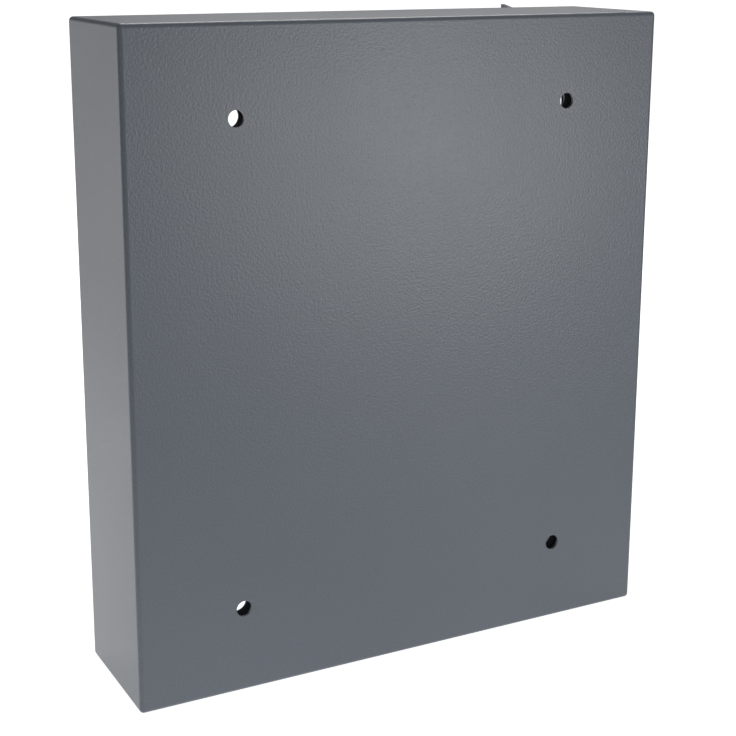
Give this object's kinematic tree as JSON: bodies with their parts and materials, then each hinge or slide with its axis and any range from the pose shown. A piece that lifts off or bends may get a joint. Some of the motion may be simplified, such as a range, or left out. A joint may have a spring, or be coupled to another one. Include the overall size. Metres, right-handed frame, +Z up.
{
  "type": "wall safe",
  "caption": "Shallow steel wall safe with a keypad door standing open, a knob that throws three bolts, a shelf and key hooks.",
  "frame": {"origin": "centre of the four wall holes in the outer back face, in the wall plane", "axes": "+Y out of the back towards the wall, +Z up, +X to the right seen from the front"},
  "size_m": [0.5335, 0.4162, 0.45],
  "materials": {
    "coated_steel": "fine-textured powder coat",
    "bright_steel": "turned and polished",
    "zinc_steel": "bright zinc plate",
    "satin_chrome": "satin",
    "brass": "machined",
    "nylon": "natural",
    "black_plastic": "fine spark texture",
    "red_plastic": "moulded",
    "key_rubber": "moulded",
    "rubber": "moulded",
    "circuit_board": "solder mask",
    "lamp_lens": "tinted",
    "cell_wrap": "printed-free sleeve",
    "coil_wire": "enamelled winding",
    "felt": "needle felt"
  },
  "bodies": {
    "case": {"body_shell": "coated_steel", "hinge_brackets": "coated_steel", "hinge_pins": "bright_steel", "hinge_washers": "nylon", "strike_bar": "coated_steel", "back_liner": "coated_steel", "liner_bosses": "coated_steel", "pan_screws": "zinc_steel", "shelf": "coated_steel", "hook_rail": "coated_steel", "key_hooks": "bright_steel", "floor_mat": "felt"},
    "door": {"door_plate": "coated_steel", "hinge_knuckles": "coated_steel", "hinge_side_dog": "coated_steel", "bolt_guide": "zinc_steel", "bar_guide_studs": "zinc_steel", "knob_rosette": "satin_chrome", "lock_escutcheon": "satin_chrome", "key_cylinder": "satin_chrome", "cylinder_nut": "zinc_steel", "cover_rivet": "satin_chrome", "keypad_housing": "black_plastic", "button_membrane": "rubber", "keypad_board": "circuit_board", "led_lenses": "lamp_lens", "keypad_screws": "zinc_steel", "keypad_cable": "rubber", "control_board": "circuit_board", "battery_tray": "black_plastic", "batteries": "cell_wrap", "solenoid_frame": "zinc_steel", "solenoid_coil": "coil_wire", "lock_cover": "coated_steel", "cover_screws": "zinc_steel", "reset_switch": "black_plastic"},
    "knob": {"knob": "satin_chrome", "drive_cam": "zinc_steel"},
    "bolts": {"bolt_bar": "zinc_steel", "bolt_arm": "zinc_steel", "locking_bolts": "bright_steel"},
    "plunger": {"solenoid_plunger": "bright_steel", "solenoid_spring": "bright_steel"},
    "key_plug": {"key_plug": "brass", "override_lever": "zinc_steel"},
    "keyhole_cover": {"keyhole_cover": "satin_chrome"},
    "battery_lid": {"battery_lid": "black_plastic"},
    "reset_button": {"reset_button": "red_plastic"},
    "button_1": {"button_1": "key_rubber"},
    "button_2": {"button_2": "key_rubber"},
    "button_3": {"button_3": "key_rubber"},
    "button_4": {"button_4": "key_rubber"},
    "button_5": {"button_5": "key_rubber"},
    "button_6": {"button_6": "key_rubber"},
    "button_7": {"button_7": "key_rubber"},
    "button_8": {"button_8": "key_rubber"},
    "button_9": {"button_9": "key_rubber"},
    "button_star": {"button_star": "key_rubber"},
    "button_0": {"button_0": "key_rubber"},
    "button_hash": {"button_hash": "key_rubber"}
  },
  "joints": [
    {"name": "door_hinge", "type": "hinge", "parent": "case", "child": "door", "pos_m": [-0.166, -0.092, 0], "axis": [0, 0, 1], "range_deg": [-23, 117]},
    {"name": "knob_turn", "type": "hinge", "parent": "door", "child": "knob", "pos_m": [-0.28254, -0.3031, -0.058], "axis": [0.891, -0.454, 0], "range_deg": [0, 90]},
    {"name": "bolt_slide", "type": "slide", "parent": "door", "child": "bolts", "axis": [-0.454, -0.891, 0], "range_m": [0, 0.01131]},
    {"name": "plunger_slide", "type": "slide", "parent": "door", "child": "plunger", "axis": [0, 0, -1], "range_m": [0, 0.006], "deforming": ["solenoid_spring"]},
    {"name": "key_turn", "type": "hinge", "parent": "door", "child": "key_plug", "pos_m": [-0.28254, -0.3031, 0.008], "axis": [0.891, -0.454, 0], "range_deg": [-90, 0]},
    {"name": "keyhole_cover_swing", "type": "hinge", "parent": "door", "child": "keyhole_cover", "pos_m": [-0.2861, -0.30128, 0.023], "axis": [0.891, -0.454, 0], "range_deg": [-90, 90]},
    {"name": "battery_lid_slide", "type": "slide", "parent": "door", "child": "battery_lid", "axis": [-0.454, -0.891, 0], "range_m": [0, 0.058]},
    {"name": "reset_press", "type": "slide", "parent": "door", "child": "reset_button", "axis": [-0.891, 0.454, 0], "range_m": [0, 0.0014], "stiffness_N_per_m": 400},
    {"name": "press_1", "type": "slide", "parent": "door", "child": "button_1", "axis": [0.891, -0.454, 0], "range_m": [0, 0.001], "stiffness_N_per_m": 600},
    {"name": "press_2", "type": "slide", "parent": "door", "child": "button_2", "axis": [0.891, -0.454, 0], "range_m": [0, 0.001], "stiffness_N_per_m": 600},
    {"name": "press_3", "type": "slide", "parent": "door", "child": "button_3", "axis": [0.891, -0.454, 0], "range_m": [0, 0.001], "stiffness_N_per_m": 600},
    {"name": "press_4", "type": "slide", "parent": "door", "child": "button_4", "axis": [0.891, -0.454, 0], "range_m": [0, 0.001], "stiffness_N_per_m": 600},
    {"name": "press_5", "type": "slide", "parent": "door", "child": "button_5", "axis": [0.891, -0.454, 0], "range_m": [0, 0.001], "stiffness_N_per_m": 600},
    {"name": "press_6", "type": "slide", "parent": "door", "child": "button_6", "axis": [0.891, -0.454, 0], "range_m": [0, 0.001], "stiffness_N_per_m": 600},
    {"name": "press_7", "type": "slide", "parent": "door", "child": "button_7", "axis": [0.891, -0.454, 0], "range_m": [0, 0.001], "stiffness_N_per_m": 600},
    {"name": "press_8", "type": "slide", "parent": "door", "child": "button_8", "axis": [0.891, -0.454, 0], "range_m": [0, 0.001], "stiffness_N_per_m": 600},
    {"name": "press_9", "type": "slide", "parent": "door", "child": "button_9", "axis": [0.891, -0.454, 0], "range_m": [0, 0.001], "stiffness_N_per_m": 600},
    {"name": "press_star", "type": "slide", "parent": "door", "child": "button_star", "axis": [0.891, -0.454, 0], "range_m": [0, 0.001], "stiffness_N_per_m": 600},
    {"name": "press_0", "type": "slide", "parent": "door", "child": "button_0", "axis": [0.891, -0.454, 0], "range_m": [0, 0.001], "stiffness_N_per_m": 600},
    {"name": "press_hash", "type": "slide", "parent": "door", "child": "button_hash", "axis": [0.891, -0.454, 0], "range_m": [0, 0.001], "stiffness_N_per_m": 600}
  ],
  "couplings": [
    {"joint": "knob_turn", "follows": "bolt_slide", "rad_per_m": 138.84}
  ]
}
